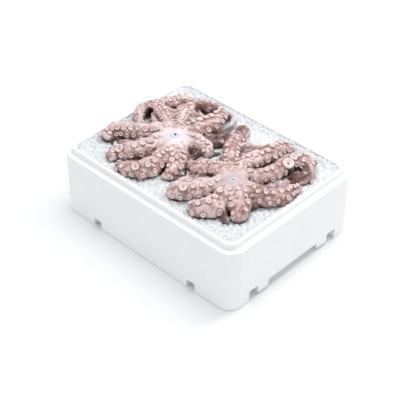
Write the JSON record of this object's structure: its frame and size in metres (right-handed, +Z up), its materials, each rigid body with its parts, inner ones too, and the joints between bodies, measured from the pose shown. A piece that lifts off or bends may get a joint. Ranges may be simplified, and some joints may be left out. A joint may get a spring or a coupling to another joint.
{
  "type": "whole octopus on ice in foam fish box",
  "caption": "White foam fish box filled with crushed ice, with whole raw octopuses lying on it mouth side up, arms spread and curled, showing rows of suckers.",
  "frame": {"origin": "on the ground, under the middle of the foam box", "axes": "+X along the box's long side, +Z up, out of the open top"},
  "size_m": [0.4, 0.306, 0.1524],
  "materials": {
    "foam": "matte white bead foam",
    "ice": "white crushed ice, wet and granular",
    "octopus_skin": "wet pink to purple-brown skin with paler suckers"
  },
  "bodies": {
    "root": {"foam_box": "foam", "crushed_ice": "ice", "octopus_left": "octopus_skin", "octopus_right": "octopus_skin"}
  },
  "joints": []
}
